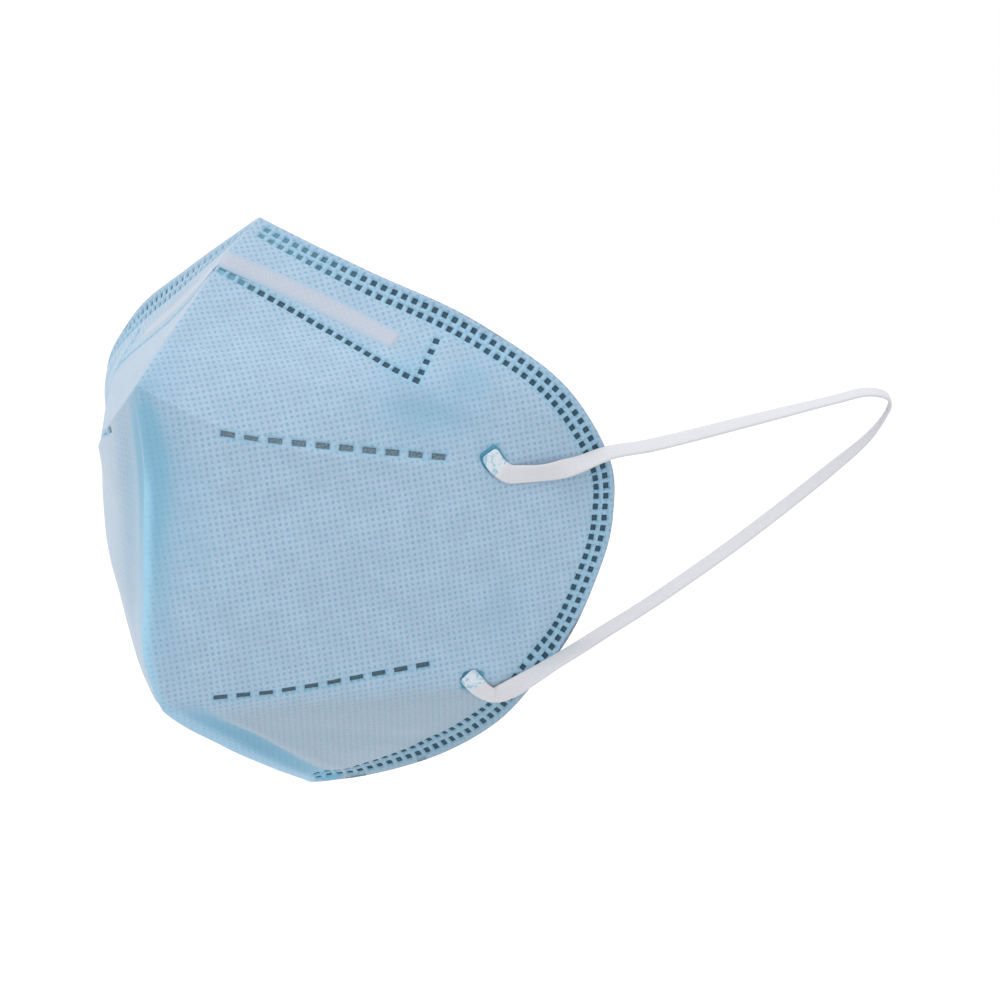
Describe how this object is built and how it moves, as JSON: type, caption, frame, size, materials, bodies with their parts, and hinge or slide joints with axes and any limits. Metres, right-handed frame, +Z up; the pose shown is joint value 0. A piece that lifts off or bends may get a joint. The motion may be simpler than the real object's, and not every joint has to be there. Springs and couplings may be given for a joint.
{
  "type": "reusable fold-flat face mask",
  "caption": "Fold-flat cloth face mask shown open as worn, with a bendable nose strip across the bridge and elastic ear loops held out behind.",
  "frame": {"origin": "middle of the opening that the face goes into, on the plane that cuts the mask into two equal halves", "axes": "+X to the wearer's left, +Y back towards the wearer, out of the opening, +Z up; the front fold faces -Y"},
  "size_m": [0.202, 0.1369, 0.1225],
  "materials": {
    "mask_cloth": "matte pale blue nonwoven cloth with a fine embossed dot pattern and darker pressed weld squares",
    "nose_strip": "pale satin bendable strip with soft edges",
    "elastic": "matte off-white flat knitted elastic with glossy weld patches at its ends"
  },
  "bodies": {
    "root": {"mask_body": "mask_cloth", "nose_strip": "nose_strip", "ear_loop_left": "elastic", "ear_loop_right": "elastic"}
  },
  "joints": []
}
